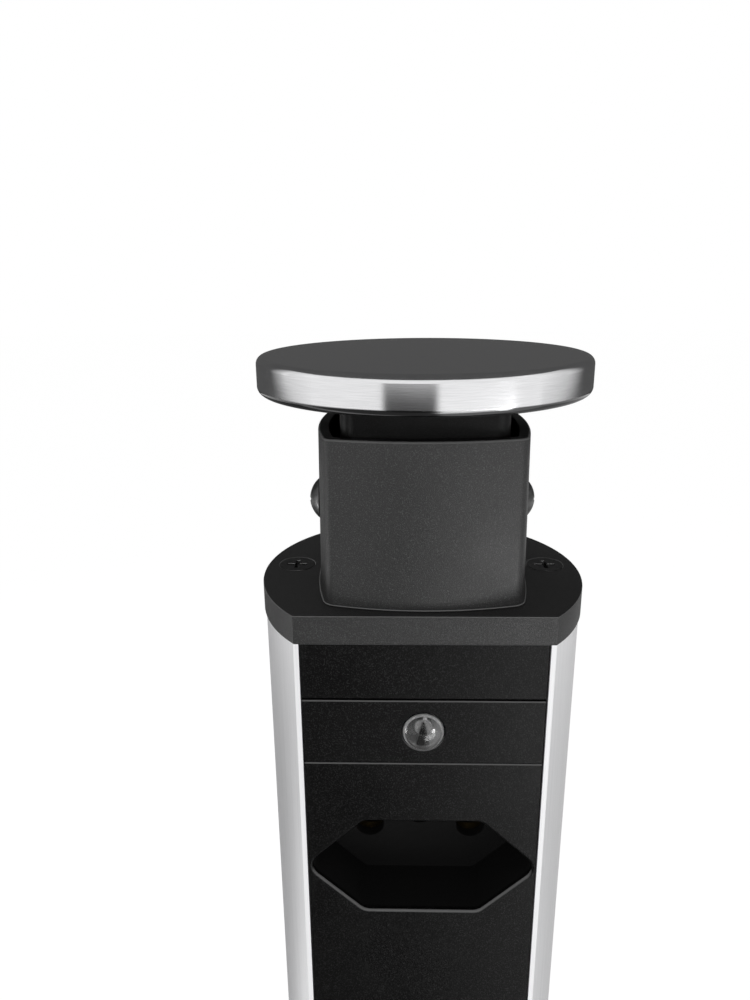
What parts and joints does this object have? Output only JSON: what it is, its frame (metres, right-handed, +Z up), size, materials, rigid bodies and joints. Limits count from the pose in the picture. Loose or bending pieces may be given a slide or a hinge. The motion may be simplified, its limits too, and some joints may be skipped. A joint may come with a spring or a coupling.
{
  "type": "pop-up desk socket",
  "caption": "Round power tower that slides up through a desk hole: aluminium profile, hexagonal outlets, bowed square black neck and a sprung brushed steel lid.",
  "frame": {"origin": "on the axis of the desk hole, at the desk's top surface, where the flange ring sits", "axes": "+Z up along the tower, the outlets face -Y, +X to the right seen from the front"},
  "size_m": [0.08, 0.08, 0.2773],
  "materials": {
    "brushed_lid": "circular brushed stainless",
    "black_moulding": "fine spark texture",
    "dark_plate": "fine spark texture",
    "profile_aluminium": "satin anodised",
    "black_screw": "black oxide",
    "zinc_screw": "zinc plated",
    "clear_lens": "clear moulded",
    "board": "solder resist",
    "white_nylon": "moulded nylon",
    "contact_brass": "bare",
    "felt": "pressed felt",
    "rubber": "matte"
  },
  "bodies": {
    "flange": {"desk_flange": "black_moulding", "guide_key": "white_nylon", "key_screw": "zinc_screw", "friction_pads": "felt"},
    "tower": {"lid_spring": "zinc_screw", "neck_housing": "black_moulding", "neck_side_screws": "black_screw", "neck_base_screws": "zinc_screw", "latch_case": "white_nylon", "top_collar": "black_moulding", "collar_screws": "black_screw", "body_extrusion": "profile_aluminium", "blank_plate": "dark_plate", "indicator_plate": "dark_plate", "indicator_lens": "clear_lens", "indicator_led": "clear_lens", "indicator_board": "board", "socket_front": "dark_plate", "contact_carrier": "black_moulding", "live_bar": "contact_brass", "neutral_bar": "contact_brass", "earth_bar": "contact_brass", "rear_insulator": "white_nylon", "module_screws": "zinc_screw", "terminal_block": "white_nylon", "terminal_screws": "zinc_screw", "lower_plate": "dark_plate", "base_cap": "black_moulding", "base_screws": "zinc_screw", "gland_body": "black_moulding", "gland_locknut": "black_moulding", "gland_cap": "black_moulding"},
    "lid": {"lid_cap": "brushed_lid", "lid_pad": "rubber", "lid_carrier": "black_moulding", "latch_plunger": "white_nylon"},
    "washer": {"clamp_washer": "rubber"},
    "nut": {"clamp_nut": "black_moulding"}
  },
  "joints": [
    {"name": "tower_slide", "type": "slide", "parent": "flange", "child": "tower", "axis": [0, 0, 1], "range_m": [-0.2013, 0]},
    {"name": "lid_press", "type": "slide", "parent": "tower", "child": "lid", "axis": [0, 0, 1], "range_m": [-0.005, 0], "stiffness_N_per_m": 800, "springref_m": 0.006, "deforming": ["lid_spring"]},
    {"name": "washer_slide", "type": "slide", "parent": "flange", "child": "washer", "axis": [0, 0, 1], "range_m": [-0.0331, 0.0131]},
    {"name": "nut_turn", "type": "hinge", "parent": "washer", "child": "nut", "pos_m": [0, 0, -0.034], "axis": [0, 0, 1], "range_deg": [-3960, 1560]}
  ],
  "couplings": [
    {"joint": "washer_slide", "follows": "nut_turn", "m_per_rad": 0.00047746}
  ]
}
